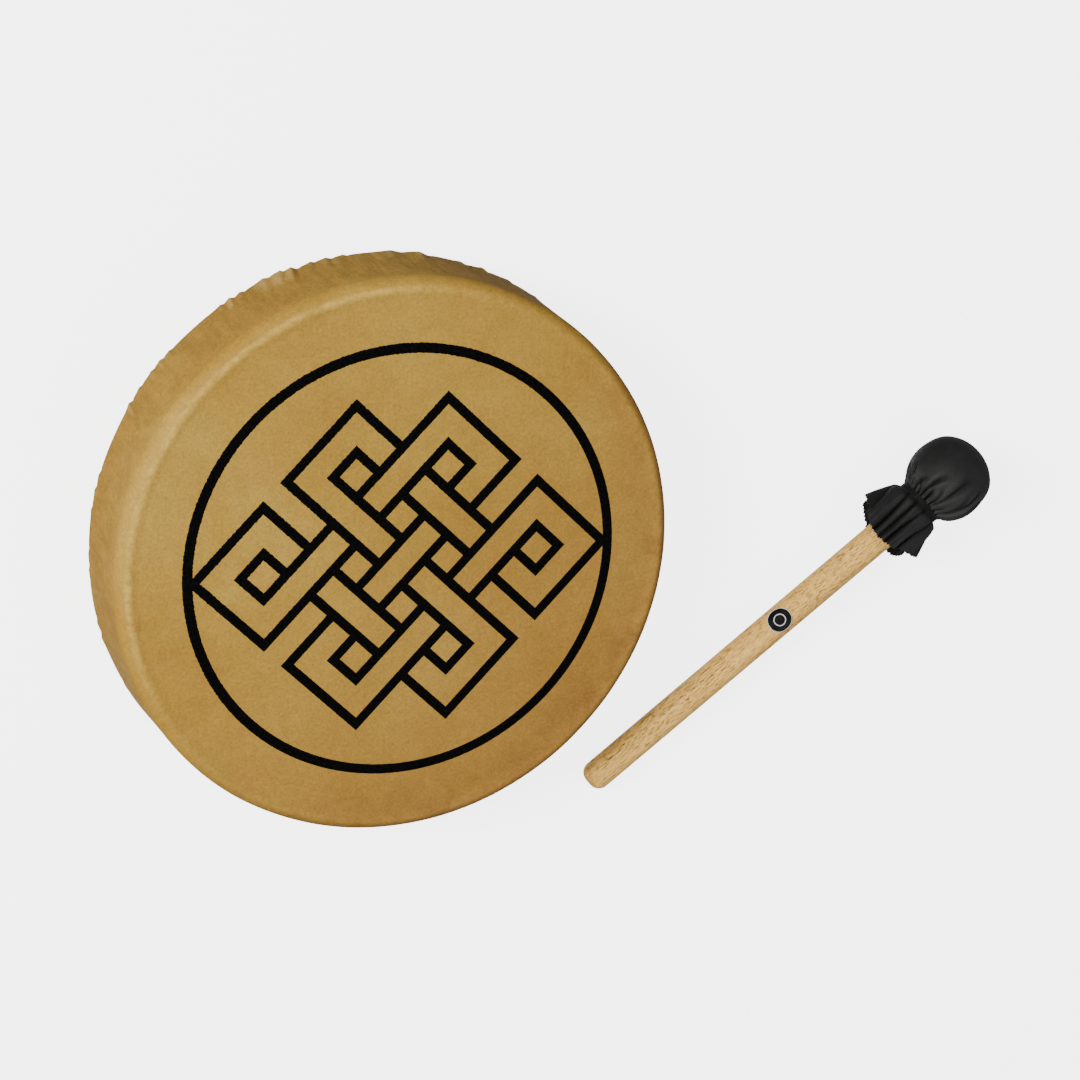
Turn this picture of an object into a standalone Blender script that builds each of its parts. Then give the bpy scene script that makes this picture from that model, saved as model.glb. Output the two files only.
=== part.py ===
"""Laced frame drum (bodhran) with its padded beater.

The drum lies on its open back with the head up: the origin is the centre of the playing face,
+Z points out of the head. The beater lies on the same surface beside it. Metres, +Z up.
"""

import math

import bmesh
import bpy
from mathutils import Matrix, Vector

# --- Driving dimensions of the drum ---
HEAD_RADIUS = 0.1886  # outside of the hide where the rounded front edge meets the wall
BACK_RADIUS = 0.1916  # outside of the hide at the back, where its pleats bunch up
DEPTH = 0.0700  # playing face to the face that rests on a table
HIDE = 0.0011  # thickness of one layer of hide
GAP = 0.0003  # clearance between touching pieces
SHOULDER_GAP = 0.00036  # a little more where two faceted curves lie on each other
PLY = 0.0024  # one of the hoop's three bent layers
SAW_CUT = 0.0004  # width of the butt seam between a layer's two ends
SAW_REACH = 0.0200
SEGMENTS = 60  # facets round the drum

BEAD_START = 0.1735  # the hide starts to rise onto the hoop's edge here
BEAD_RADIUS = 0.1810  # top of the raised bead, over the hoop's inner layers
BEAD_RISE = 0.0008
EDGE_DROP = 0.0085  # the rounded shoulder ends this far below the playing face

REST_INNER = 0.1785  # inner edge of the flat ring of hide that touches the table
HEM_RADIUS = 0.1570  # inner edge of the hide, pulled in behind the hoop by the lacing
HEM_RISE = 0.0050  # how far the lacing lifts that edge off the table

HOLES = 24
HOLE_CIRCLE = 0.1640
HOLE_RADIUS = 0.0024
HEEL_WIDTH = 0.0050  # the rounded turn from the wall on to the back edge
HEEL_HEIGHT = 0.0062

# --- Driving dimensions of the lacing and the hand hold ---
LACE_RADIUS = 0.0016
LACE_BEND = 0.0025
GRIPS = 4
GRIP_Z = -0.0500
GRIP_INNER = 0.0275
GRIP_OUTER = 0.0740
GRIP_RADIUS = 0.0078
GRIP_TAPER = 0.0008  # how much slimmer a grip is at its ends
GRIP_BORE = 0.0054
STRAND_CIRCLE = 0.0035  # the six strands of a grip lie on this circle round its axis
STRAND_REACH = 0.0017  # how far each strand stands in past its grip, to just short of the lashing
RING_RADIUS = 0.0200
RING_WIRE = 0.0025
LASHING_BORE = 0.0033
LASHING_RADIUS = 0.0053
LASHING_WIDTH = 0.0080
LASHING_CROWN = 0.0004

# --- Driving dimensions of the beater, along its stick from the butt ---
STICK_BUTT_RADIUS = 0.0107
STICK_HEAD_RADIUS = 0.0112
STICK_LENGTH = 0.3500
BUTT_ROUNDING = 0.0085
STICK_CHAMFER = 0.0010
TABLE_GAP = 0.0001  # the facets of the butt reach this far below its true curve
BADGE_AT = 0.1812
BADGE_RADIUS = 0.0092
BADGE_THICKNESS = 0.0004
SKIRT_AT = 0.2840
NECK_AT = 0.3145
BALL_AT = 0.3430
BALL_RADIUS = 0.0300
CLOTH = 0.0010
CLOTH_LEAVES = -48.0  # where the cloth leaves the ball for the neck, in degrees
WADDING_STANDOFF = 0.0060  # the wadding stops this far out from the stick
NECK_RADIUS = 0.0164
SKIRT_RADIUS = 0.0240
SKIRT_LIP = 0.0030  # the folds make the skirt's edge this thick
FELT_RADIUS = 0.0215
TIE_RADIUS = 0.0008
TIE_TURNS = 3
TURNS = 24  # facets round the stick

# The neck's outside as (radius, distance along from NECK_AT), then its inside as (distance out
# from the stick, distance along from NECK_AT).
NECK_OUTSIDE = ((NECK_RADIUS, 0.0027), (NECK_RADIUS, -0.0027), (NECK_RADIUS + 0.0036, -0.0090))
NECK_INSIDE = ((0.0016, -0.0100), (0.0, -0.0045), (0.0, 0.0015))

BEATER_BUTT = Vector((0.1610, -0.2060))  # where the butt's centre lies over the table
BEATER_HEADING = math.radians(37.6)
BADGE_TURN = math.radians(33.9)  # the badge is turned this far to the stick's left from straight up


# --- Helpers ---


def clear_scene():
    for old in list(bpy.data.objects):
        bpy.data.objects.remove(old, do_unlink=True)


def material(name, colour, roughness, metallic=0.0):
    made = bpy.data.materials.new(name)
    made.use_nodes = True
    shader = made.node_tree.nodes["Principled BSDF"]
    shader.inputs["Base Color"].default_value = (*colour, 1.0)
    shader.inputs["Roughness"].default_value = roughness
    shader.inputs["Metallic"].default_value = metallic
    return made


def placed(name, data, finish, matrix=Matrix.Identity(4)):
    piece = bpy.data.objects.new(name, data)
    bpy.context.collection.objects.link(piece)
    data.materials.append(finish)
    piece.matrix_world = matrix
    return piece


def turned_mesh(name, outline, steps):
    """The closed outline of (radius, height) points turned round Z."""
    work = bmesh.new()
    corners = [work.verts.new((radius, 0.0, height)) for radius, height in outline]
    edges = [work.edges.new(pair) for pair in zip(corners, corners[1:])]
    if outline[0][0] > 0.0:
        edges.append(work.edges.new((corners[-1], corners[0])))
    bmesh.ops.spin(
        work,
        geom=corners + edges,
        axis=(0.0, 0.0, 1.0),
        cent=(0.0, 0.0, 0.0),
        angle=math.tau,
        steps=steps,
        use_merge=False,
        use_duplicate=False,
    )
    bmesh.ops.remove_doubles(work, verts=work.verts, dist=1e-6)
    bmesh.ops.recalc_face_normals(work, faces=work.faces)
    mesh = bpy.data.meshes.new(name)
    work.to_mesh(mesh)
    work.free()
    mesh.shade_smooth()
    mesh.set_sharp_from_angle(angle=math.radians(40))
    return mesh


def arc(centre, radii, start, end, steps):
    """Points on an ellipse's arc; angles in degrees, 0 along +radius and 90 upwards."""
    angles = [math.radians(start + (end - start) * i / steps) for i in range(steps + 1)]
    return [(centre[0] + radii[0] * math.cos(a), centre[1] + radii[1] * math.sin(a)) for a in angles]


def cut(piece, cutter):
    """A Boolean difference; the cutter stays as a hidden wire guide."""
    cutter.hide_render = True
    cutter.display_type = "WIRE"
    hole = piece.modifiers.new("cut", "BOOLEAN")
    hole.operation = "DIFFERENCE"
    hole.solver = "EXACT"
    hole.object = cutter


def rounded_route(corners, bend, steps):
    """The straight runs between the corners, each inner corner rounded to the bend radius."""
    route = [corners[0]]
    for before, corner, after in zip(corners, corners[1:], corners[2:]):
        back = (before - corner).normalized()
        ahead = (after - corner).normalized()
        half = back.angle(ahead) / 2.0
        reach = bend / math.tan(half)
        centre = corner + (back + ahead).normalized() * bend / math.sin(half)
        first = corner + back * reach - centre
        last = corner + ahead * reach - centre
        route += [centre + first.slerp(last, i / steps) * bend for i in range(steps + 1)]
    route.append(corners[-1])
    return route


def tube(name, route, radius, finish):
    curve = bpy.data.curves.new(name, "CURVE")
    curve.dimensions = "3D"
    line = curve.splines.new("POLY")
    line.points.add(len(route) - 1)
    for point, place in zip(line.points, route):
        point.co = (*place, 1.0)
    curve.bevel_depth = radius
    curve.bevel_resolution = 1
    curve.use_fill_caps = True
    return placed(name, curve, finish)


# --- The hide ---


def hide_outer():
    """Outside of the hide from the centre of the face to its hem behind the hoop."""
    rise = [
        (
            BEAD_START + (BEAD_RADIUS - BEAD_START) * i / 4,
            BEAD_RISE * (0.5 - 0.5 * math.cos(math.pi * i / 4)),
        )
        for i in range(4)
    ]
    shoulder = arc(
        (BEAD_RADIUS, -EDGE_DROP),
        (HEAD_RADIUS - BEAD_RADIUS, EDGE_DROP + BEAD_RISE),
        90.0,
        0.0,
        6,
    )
    heel = arc(
        (BACK_RADIUS - HEEL_WIDTH, -DEPTH + HEEL_HEIGHT),
        (HEEL_WIDTH, HEEL_HEIGHT),
        0.0,
        -90.0,
        3,
    )
    return [(0.0, 0.0)] + rise + shoulder + heel + [(REST_INNER, -DEPTH)] + hem_line(0.0)


def hem_line(lift):
    """The hide inside the hoop's back edge: it curves up towards its free edge."""
    span = REST_INNER - HEM_RADIUS
    return [
        (
            REST_INNER - span * share,
            -DEPTH + lift + HEM_RISE * (1.0 - (1.0 - share) ** 2),
        )
        for share in (0.33, 0.67, 1.0)
    ]


def shoulder_offset(clearance, steps):
    """The rounded front edge, moved into the drum by the clearance."""
    return arc(
        (BEAD_RADIUS, -EDGE_DROP),
        (HEAD_RADIUS - BEAD_RADIUS - clearance, EDGE_DROP + BEAD_RISE - clearance),
        0.0,
        90.0,
        steps,
    )


def hide_inner():
    """Inside of the hide from the hem back to the centre of the face."""
    wall = HEAD_RADIUS - HIDE
    hem = hem_line(HIDE)[::-1]
    floor = [(REST_INNER - 0.0006, -DEPTH + HIDE), (wall, -DEPTH + HIDE)]
    rise = [(BEAD_START, -HIDE), (0.0, -HIDE)]
    return hem + floor + shoulder_offset(HIDE, 6) + rise


def build_hide(finish):
    mesh = turned_mesh("goatskin_head", hide_outer() + hide_inner(), SEGMENTS)
    hide = placed("goatskin_head", mesh, finish)
    work = bmesh.new()
    for i in range(HOLES):
        angle = math.tau * (i + 0.5) / HOLES
        place = (HOLE_CIRCLE * math.cos(angle), HOLE_CIRCLE * math.sin(angle), -DEPTH + HEM_RISE)
        bmesh.ops.create_cone(
            work,
            cap_ends=True,
            segments=8,
            radius1=HOLE_RADIUS,
            radius2=HOLE_RADIUS,
            depth=4.0 * HIDE,
            matrix=Matrix.Translation(place),
        )
    punch_mesh = bpy.data.meshes.new("hem_punch")
    work.to_mesh(punch_mesh)
    work.free()
    punch = bpy.data.objects.new("hem_punch", punch_mesh)
    bpy.context.collection.objects.link(punch)
    cut(hide, punch)


# --- The laminated hoop ---


def shoulder_height(radius, clearance):
    """Height of the front edge at a radius, the clearance below the hide's outside."""
    across = HEAD_RADIUS - BEAD_RADIUS - clearance
    share = min(1.0, max(0.0, (radius - BEAD_RADIUS) / across))
    return -EDGE_DROP + (EDGE_DROP + BEAD_RISE - clearance) * math.sqrt(1.0 - share**2)


def build_ply(name, outer, finish):
    """One bent layer: its front edge follows the shoulder, and its ends meet in a butt seam."""
    inner = outer - PLY
    clearance = HIDE + SHOULDER_GAP
    bottom = -DEPTH + HIDE + GAP
    front = [
        (outer - PLY * share, shoulder_height(outer - PLY * share, clearance))
        for share in (0.04, 0.25, 0.55, 1.0)
    ]
    outline = [(outer, bottom), (inner, bottom)] + front[::-1]
    return placed(name, turned_mesh(name, outline, SEGMENTS), finish)


def cut_seam(ring, angle):
    """The butt joint between a layer's two ends, a saw-cut wide."""
    bpy.ops.mesh.primitive_cube_add(size=1.0)
    saw = bpy.context.object
    saw.name = ring.name + "_seam"
    saw.scale = (SAW_REACH, SAW_CUT, 2.2 * DEPTH)
    saw.location = (BEAD_RADIUS * math.cos(angle), BEAD_RADIUS * math.sin(angle), -DEPTH / 2)
    saw.rotation_euler.z = angle
    cut(ring, saw)


def build_hoop(finish):
    outer = HEAD_RADIUS - HIDE - GAP
    seams = {"hoop_outer_ply": 200.0, "hoop_core_ply": 320.0, "hoop_inner_ply": 80.0}
    for name, seam in seams.items():
        ring = build_ply(name, outer, finish)
        cut_seam(ring, math.radians(seam))
        outer -= PLY + GAP


# --- The lacing and the hand hold ---


def strand_start(strand, along, heading):
    """Where a strand lies in its grip: the strands sit in a ring and never cross."""
    side = -1.0 if strand < 3 else 1.0
    slot = strand if strand < 3 else 5 - strand
    turn = math.radians((0.0, 60.0, -60.0)[slot])
    across = side * STRAND_CIRCLE * math.cos(turn)
    height = GRIP_Z + STRAND_CIRCLE * math.sin(turn)
    out = Vector((math.cos(heading), math.sin(heading), 0.0))
    left = Vector((-out.y, out.x, 0.0))
    return out * along + left * across + Vector((0.0, 0.0, height))


def build_laces(finish):
    """Twelve lengths of cord: out of a grip, down one hem hole, up the next and back."""
    holes_per_grip = HOLES // GRIPS
    pitch = math.tau / HOLES
    hem = HEM_RISE * (1.0 - (1.0 - (REST_INNER - HOLE_CIRCLE) / (REST_INNER - HEM_RADIUS)) ** 2)
    below = Vector((0.0, 0.0, -DEPTH + hem - LACE_RADIUS - 1.6 * GAP))
    above = Vector((0.0, 0.0, -DEPTH + hem + HIDE + LACE_RADIUS + 4.0 * GAP))
    number = 0
    for grip in range(GRIPS):
        heading = math.tau * grip / GRIPS
        first_hole = heading - pitch * (holes_per_grip - 1) / 2
        for strand in range(0, holes_per_grip, 2):
            ends = []
            for side in (strand, strand + 1):
                angle = first_hole + pitch * side
                hole = Vector((HOLE_CIRCLE * math.cos(angle), HOLE_CIRCLE * math.sin(angle), 0.0))
                inner = strand_start(side, GRIP_INNER - STRAND_REACH, heading)
                mouth = strand_start(side, GRIP_OUTER + 0.0008, heading)
                ends.append([inner, mouth, hole + above, hole + below])
            corners = ends[0] + ends[1][::-1]
            number += 1
            tube(f"lace_{number:02d}", rounded_route(corners, LACE_BEND, 3), LACE_RADIUS, finish)


def build_grips(finish):
    """Leather wound round each bundle: a sleeve, a little fuller in the middle."""
    half = (GRIP_OUTER - GRIP_INNER) / 2
    bulge = [(GRIP_RADIUS - GRIP_TAPER * (i / 2) ** 2, half * i / 2) for i in (-2, -1, 0, 1, 2)]
    outline = bulge + [(GRIP_BORE, half), (GRIP_BORE, -half)]
    for grip in range(GRIPS):
        turn = Matrix.Rotation(math.tau * grip / GRIPS, 4, "Z")
        seat = Matrix.Translation((GRIP_INNER + half, 0.0, GRIP_Z))
        lay = Matrix.Rotation(math.radians(90), 4, "Y")
        name = f"grip_wrap_{grip + 1}"
        placed(name, turned_mesh(name, outline, 16), finish, turn @ seat @ lay)


def ring_outline(radius, wire, sides):
    return [
        (radius + wire * math.cos(math.tau * i / sides), wire * math.sin(math.tau * i / sides))
        for i in range(sides)
    ]


def build_hand_ring(steel, cord):
    seat = Matrix.Translation((0.0, 0.0, GRIP_Z))
    mesh = turned_mesh("hand_ring", ring_outline(RING_RADIUS, RING_WIRE, 8), 32)
    placed("hand_ring", mesh, steel, seat)
    half = LASHING_WIDTH / 2
    outline = [
        (LASHING_BORE, -half),
        (LASHING_RADIUS, -half),
        (LASHING_RADIUS + LASHING_CROWN, 0.0),
        (LASHING_RADIUS, half),
        (LASHING_BORE, half),
    ]
    for grip in range(GRIPS):
        turn = Matrix.Rotation(math.tau * grip / GRIPS, 4, "Z")
        across = Matrix.Translation((RING_RADIUS, 0.0, GRIP_Z))
        lay = Matrix.Rotation(math.radians(90), 4, "X")
        name = f"ring_lashing_{grip + 1}"
        placed(name, turned_mesh(name, outline, 12), cord, turn @ across @ lay)


# --- The beater ---


def beater_parent():
    """An empty at the butt's centre, its X axis along the stick, ball and butt on the table."""
    slope = math.asin((BALL_RADIUS - STICK_BUTT_RADIUS) / (BALL_AT - BUTT_ROUNDING))
    height = -DEPTH + STICK_BUTT_RADIUS - BUTT_ROUNDING * math.sin(slope) + TABLE_GAP
    frame = bpy.data.objects.new("beater_axis", None)
    bpy.context.collection.objects.link(frame)
    frame.matrix_world = (
        Matrix.Translation((*BEATER_BUTT, height))
        @ Matrix.Rotation(BEATER_HEADING, 4, "Z")
        @ Matrix.Rotation(-slope, 4, "Y")
    )
    return frame


def on_stick(name, outline, steps, finish, frame):
    """A piece turned round the stick's axis; its outline is (radius, distance from the butt)."""
    lay = Matrix.Rotation(math.radians(90), 4, "Y")
    piece = placed(name, turned_mesh(name, outline, steps), finish)
    piece.parent = frame
    piece.matrix_local = lay
    return piece


def build_stick(finish, frame):
    butt = arc(
        (STICK_BUTT_RADIUS - BUTT_ROUNDING, BUTT_ROUNDING),
        (BUTT_ROUNDING, BUTT_ROUNDING),
        -90.0,
        0.0,
        3,
    )
    end = [
        (STICK_HEAD_RADIUS, STICK_LENGTH - STICK_CHAMFER),
        (STICK_HEAD_RADIUS - STICK_CHAMFER, STICK_LENGTH),
    ]
    outline = [(0.0, 0.0)] + butt + end + [(0.0, STICK_LENGTH)]
    on_stick("beater_stick", outline, TURNS, finish, frame)


def build_felt(finish, frame):
    """A felt ball, bored blind to sit on the stick."""
    bore = STICK_HEAD_RADIUS + GAP
    mouth = math.degrees(math.asin(bore / FELT_RADIUS))
    ball = arc((0.0, BALL_AT), (FELT_RADIUS, FELT_RADIUS), -90.0 + mouth, 90.0, 8)
    seat = [(0.0, STICK_LENGTH + GAP), (bore, STICK_LENGTH + GAP)]
    outline = seat + ball[:-1] + [(0.0, BALL_AT + FELT_RADIUS)]
    on_stick("felt_core", outline, TURNS, finish, frame)


def build_padding(finish, frame):
    """Soft wadding between the felt and the cloth, open where the stick goes in."""
    outer = BALL_RADIUS - CLOTH - 2.0 * GAP
    inner = FELT_RADIUS + 2.0 * GAP
    mouth = STICK_HEAD_RADIUS + WADDING_STANDOFF
    open_out = math.degrees(math.asin(mouth / outer))
    open_in = math.degrees(math.asin(mouth / inner))
    outline = [(0.0, BALL_AT + outer)]
    outline += arc((0.0, BALL_AT), (outer, outer), 90.0, -90.0 + open_out, 10)[1:]
    outline += arc((0.0, BALL_AT), (inner, inner), -90.0 + open_in, 90.0, 8)[:-1]
    outline += [(0.0, BALL_AT + inner)]
    on_stick("wadding", outline, TURNS, finish, frame)


def build_cover(finish, frame):
    """One square of cloth round the ball, gathered at the neck, its edge left as a skirt."""
    inner_ball = BALL_RADIUS - CLOTH
    inner_neck = STICK_HEAD_RADIUS + GAP
    outline = [(0.0, BALL_AT + BALL_RADIUS)]
    outline += arc((0.0, BALL_AT), (BALL_RADIUS, BALL_RADIUS), 90.0, CLOTH_LEAVES, 10)[1:]
    outline += [(radius, NECK_AT + offset) for radius, offset in NECK_OUTSIDE]
    outline += [(SKIRT_RADIUS, SKIRT_AT), (SKIRT_RADIUS - SKIRT_LIP, SKIRT_AT)]
    outline += [(inner_neck + out, NECK_AT + offset) for out, offset in NECK_INSIDE]
    outline += arc((0.0, BALL_AT), (inner_ball, inner_ball), CLOTH_LEAVES - 1.5, 90.0, 10)[:-1]
    outline += [(0.0, BALL_AT + inner_ball)]
    on_stick("cloth_cover", outline, TURNS, finish, frame)


def build_tie(finish, frame):
    """Thread wound round the neck: one ring whose outside shows its turns."""
    bore = NECK_RADIUS + GAP
    outline = [(bore, NECK_AT + TIE_TURNS * TIE_RADIUS), (bore, NECK_AT - TIE_TURNS * TIE_RADIUS)]
    for turn in range(TIE_TURNS):
        middle = NECK_AT + (2 * turn - TIE_TURNS + 1) * TIE_RADIUS
        outline += arc((bore + TIE_RADIUS * 0.6, middle), (TIE_RADIUS, TIE_RADIUS), -60.0, 60.0, 2)
    on_stick("neck_tie", outline, TURNS, finish, frame)


def build_badge(finish, frame):
    """A thin round label, bent round the stick."""
    seat = STICK_BUTT_RADIUS + (STICK_HEAD_RADIUS - STICK_BUTT_RADIUS) * BADGE_AT / STICK_LENGTH
    seat += GAP
    work = bmesh.new()
    bmesh.ops.create_circle(work, cap_ends=True, cap_tris=True, radius=BADGE_RADIUS, segments=20)
    bmesh.ops.subdivide_edges(work, edges=work.edges, cuts=1, use_grid_fill=True)
    bmesh.ops.triangulate(work, faces=work.faces)
    for corner in work.verts:
        wrap = corner.co.y / seat
        corner.co = (BADGE_AT + corner.co.x, seat * math.sin(wrap), seat * math.cos(wrap))
    mesh = bpy.data.meshes.new("stick_badge")
    work.to_mesh(mesh)
    work.free()
    badge = placed("stick_badge", mesh, finish)
    badge.parent = frame
    badge.matrix_local = Matrix.Rotation(-BADGE_TURN, 4, "X")
    skin = badge.modifiers.new("thickness", "SOLIDIFY")
    skin.thickness = BADGE_THICKNESS
    skin.offset = 1.0


def build_beater():
    wood = material("beater_wood", (0.62, 0.42, 0.22), 0.5)
    felt = material("felt", (0.55, 0.52, 0.46), 0.95)
    wadding = material("wadding", (0.75, 0.73, 0.68), 0.95)
    cloth = material("black_cloth", (0.012, 0.012, 0.013), 0.75)
    thread = material("black_thread", (0.015, 0.015, 0.016), 0.7)
    badge = material("badge", (0.02, 0.02, 0.022), 0.4)
    frame = beater_parent()
    bpy.context.view_layer.update()
    build_stick(wood, frame)
    build_felt(felt, frame)
    build_padding(wadding, frame)
    build_cover(cloth, frame)
    build_tie(thread, frame)
    build_badge(badge, frame)


def build_drum():
    hide = material("goat_hide", (0.46, 0.29, 0.10), 0.5)
    wood = material("hoop_wood", (0.55, 0.36, 0.18), 0.5)
    cord = material("lacing_cord", (0.72, 0.62, 0.44), 0.8)
    leather = material("grip_leather", (0.20, 0.10, 0.05), 0.6)
    steel = material("ring_steel", (0.55, 0.55, 0.56), 0.3, 1.0)
    build_hide(hide)
    build_hoop(wood)
    build_laces(cord)
    build_grips(leather)
    build_hand_ring(steel, cord)


clear_scene()
build_drum()
build_beater()
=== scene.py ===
"""The looks of the laced frame drum and its beater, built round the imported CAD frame.

Everything is in metres in the frame of the CAD model: the centre of the playing face is the
origin, +Z points out of the head, and the back of the drum lies on the floor.
"""

import random
from math import asin, atan2, cos, degrees, exp, pi, radians, sin, sqrt, tan, tau

import bmesh
import bpy
from mathutils import Matrix, Vector, noise


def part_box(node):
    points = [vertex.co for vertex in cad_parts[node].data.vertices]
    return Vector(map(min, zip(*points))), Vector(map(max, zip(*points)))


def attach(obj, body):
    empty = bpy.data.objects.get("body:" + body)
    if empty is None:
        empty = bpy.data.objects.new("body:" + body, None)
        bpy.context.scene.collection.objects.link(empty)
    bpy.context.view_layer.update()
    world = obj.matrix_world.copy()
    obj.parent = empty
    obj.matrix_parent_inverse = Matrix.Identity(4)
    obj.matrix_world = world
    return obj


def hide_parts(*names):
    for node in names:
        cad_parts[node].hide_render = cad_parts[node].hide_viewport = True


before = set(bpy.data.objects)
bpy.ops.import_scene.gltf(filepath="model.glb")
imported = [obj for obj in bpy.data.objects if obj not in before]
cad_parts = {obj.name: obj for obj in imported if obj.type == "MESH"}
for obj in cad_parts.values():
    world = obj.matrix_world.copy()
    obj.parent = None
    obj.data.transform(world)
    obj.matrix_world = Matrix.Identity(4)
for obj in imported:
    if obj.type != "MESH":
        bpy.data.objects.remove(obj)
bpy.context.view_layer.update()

# --- Sizes that the frame gives ---
HIDE_LOW, HIDE_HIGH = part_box("goatskin_head")
BACK_RADIUS = HIDE_HIGH.x
FLOOR = HIDE_LOW.z
BEAD_RISE = HIDE_HIGH.z
GRIP_LOW, GRIP_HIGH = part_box("grip_wrap_1")
GRIP_Z = (GRIP_LOW.z + GRIP_HIGH.z) / 2
GRIP_INNER, GRIP_OUTER = GRIP_LOW.x, GRIP_HIGH.x
GRIP_RADIUS = (GRIP_HIGH.z - GRIP_LOW.z) / 2
BALL_CENTRE = sum(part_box("felt_core"), Vector()) / 2
STICK_MIDDLE = sum(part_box("beater_stick"), Vector()) / 2

# --- Shape of the hide ---
HIDE = 0.0011
GAP = 0.0003  # air left between neighbouring pieces
FACE_HUB = 0.0008  # radius of the first ring of points round the face's middle
HEAD_RADIUS = BACK_RADIUS - 0.0030
BEAD_START = 0.1735
BEAD_RADIUS = 0.1810
EDGE_DROP = 0.0085
HEEL = (0.0050, 0.0062)
REST_INNER = 0.1785
REST_STEP = 0.0027  # between points on the flat ring the drum rests on
HEM_RADIUS = 0.1570
HEM_RISE = 0.0050
HOLES = 24
HOLE_CIRCLE = 0.1640
HOLE_RADIUS = 0.0024
COARSE_STEP = radians(0.40)  # between points round the hide
FINE_STEP = radians(0.15)  # the same where the sharp pleats are
FINE_SPAN = (radians(76.0), radians(172.0))

PLEAT_LEE = 0.55  # width of a pleat's steep side, as a share of its other side's
PROUD_PLEAT = 0.0010  # a rise over which a crest is painted pale, as a highlight
FILL_FROM, FILL_FURTHER, FILL_TO = 178.0, 250.0, 432.0  # degrees that get made-up pleats

# Pleats where the hide bunches over the back edge: direction in degrees, height, half width in
# degrees, how far they reach up the wall, and how many degrees they lean on the way.
SEEN_PLEATS = [
    (80.0, 0.0012, 2.0, 0.034, 2.0), (86.0, 0.0010, 2.2, 0.030, 1.5),
    (95.5, 0.0008, 1.0, 0.016, 1.4), (99.0, 0.0010, 1.2, 0.026, 1.8),
    (102.0, 0.0008, 0.9, 0.022, 1.9), (106.0, 0.0016, 1.2, 0.034, 2.4),
    (108.2, 0.0009, 0.8, 0.026, 2.2), (109.5, 0.0013, 4.2, 0.036, 1.6),
    (112.0, 0.0010, 1.3, 0.030, 1.6), (117.0, 0.0009, 1.0, 0.022, 1.2),
    (119.3, 0.0013, 1.1, 0.030, 1.6), (121.5, 0.0008, 0.9, 0.020, 1.0),
    (134.5, 0.0006, 0.9, 0.026, 1.2), (137.0, 0.0008, 0.9, 0.032, 1.4),
    (139.6, 0.0005, 0.8, 0.016, 0.8), (143.5, 0.0007, 0.9, 0.022, 1.2),
    (147.0, 0.0011, 0.9, 0.034, 1.8), (162.0, 0.0006, 1.0, 0.022, 0.6),
    (165.0, 0.0007, 0.9, 0.026, 0.5), (169.0, 0.0005, 0.9, 0.020, 0.3),
]

# --- The print ---
PRINT_LIFT = 0.00006
INK_STRAY = 0.00028
RING_OUTER = 0.1467
RING_INNER = 0.1400
RING_STEPS = 1440
KNOT_PITCH = 0.02192
KNOT_LINE = 0.0063
KNOT_TURN = radians(44.65)
KNOT_MIDDLE = Vector((-0.0019, 0.0015, 0.0))
KNOT_TAPER = 0.125  # growth for each metre down the print, as the hide stretched unevenly

# --- Hoop: the thickness and rounded edge of its layers, and their light and dark tones ---
PLY = 0.0024
PLY_EDGE = 0.0003
PLY_TONES = {
    "hoop_outer_ply": ((0.56, 0.37, 0.19), (0.44, 0.27, 0.12)),
    "hoop_core_ply": ((0.48, 0.30, 0.14), (0.38, 0.22, 0.10)),
    "hoop_inner_ply": ((0.60, 0.41, 0.22), (0.47, 0.30, 0.14)),
}

# --- Lacing and hand hold; a lay is the length of one twist of a cord ---
CORD_STRANDS = 3
CORD_STEP = 0.0010
LACE_RADIUS = 0.0016
LACE_LAY = 0.0085
LACE_BEND = 0.0025
LASHING_WRAPS = 3
LASHING_RADIUS = 0.0014
LASHING_LAY = 0.0070
GRIP_TURNS = 9
GRIP_SIDES = 64
LEATHER = 0.0007
GRIPS = 4
STRAND_CIRCLE = 0.0035
STRAND_TUCK = 0.0026  # how far each strand runs in past its grip, to under the lashing
RING_RADIUS = 0.0200
RING_WIRE = 0.0025

# --- The beater, along its stick from the butt ---
ON_AXIS = 0.0001  # radius of an outline's end, just off the axis
BALL_AT = 0.3430
BALL_RADIUS = 0.0300
STICK_LENGTH = 0.3500
STICK_RADII = (0.0107, 0.0112)
BUTT_ROUNDING = 0.0085
NECK_AT = 0.3145
NECK_RADIUS = 0.0166
HEM_AT = 0.2745  # the skirt's edge on the stick's upper side
HEM_RISE_AT_FLANKS = 0.0150
SKIRT_ROWS = 34
SKIRT_FOLDS = 11
COVER_SIDES = 640
CREASE_COUNT = 30
CLOTH = 0.0005
THREAD_TURNS = 4
THREAD_RADIUS = 0.0007
THREAD_LAY = 0.0036
FELT_RADIUS = 0.0215
BADGE_AT = 0.1812
BADGE_RADIUS = 0.0092
BADGE_HUB = 0.00005
BADGE_LIFT = 0.00045
BADGE_PRINT_LIFT = 0.00058
BADGE_TURN = radians(33.9)

# --- Camera ---
CAMERA_AT = Vector((-0.4632, 0.4980, 1.3371))
CAMERA_AIM = Vector((0.0946, 0.0058, 0.0))
CAMERA_ROLL = radians(1.16)
CAMERA_LENS = 77.13

# --- Lights: direction and height in degrees, distance, width, power and colour ---
LIT_SPOT = Vector((0.04, 0.0, -0.03))
LAMPS = {
    "key": (158.0, 36.0, 2.4, 0.9, 78.0, (1.0, 0.985, 0.96)),
    "fill": (-40.0, 55.0, 2.4, 1.4, 10.0, (1.0, 1.0, 1.0)),
    "under": (-60.0, -75.0, 2.0, 1.6, 20.0, (1.0, 1.0, 1.0)),
}
SKY = {"From Min": -0.2, "From Max": 0.4, "To Min": 0.30, "To Max": 0.50}
SHARP_FROM = {"drum": 50, "beater": 60}  # degrees between faces that make a sharp edge


# --- Materials ---


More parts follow.
